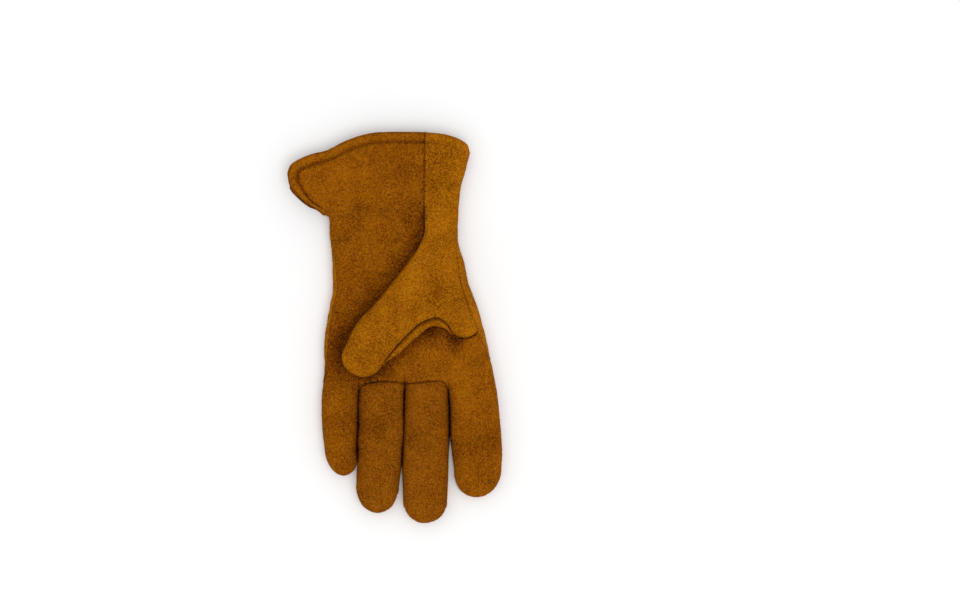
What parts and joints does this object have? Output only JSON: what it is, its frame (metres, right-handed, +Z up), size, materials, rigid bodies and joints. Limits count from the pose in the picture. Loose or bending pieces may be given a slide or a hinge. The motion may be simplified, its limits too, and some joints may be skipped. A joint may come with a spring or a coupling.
{
  "type": "work glove",
  "caption": "Left-hand split-leather work glove laid palm up, thumb folded over the palm, with a flared open cuff and side strips between the fingers",
  "frame": {"origin": "under the middle of the laid glove's box, on the table", "axes": "+Y runs from the fingertips to the cuff, +X to the thumb side, +Z up from the table through the back and then the palm"},
  "size_m": [0.1414, 0.2549, 0.024],
  "materials": {
    "suede": "split cowhide in golden brown, napped, matt, with a fine speckled grain",
    "strip_suede": "the same hide in a lighter, yellower cut, smoother and a little shiny"
  },
  "bodies": {
    "root": {"back": "suede", "palm": "suede", "ring_front": "suede", "middle_front": "suede", "thumb_outer": "suede", "thumb_inner": "suede", "strip_little_ring": "strip_suede", "strip_ring_middle": "strip_suede", "strip_middle_index": "strip_suede"}
  },
  "joints": []
}
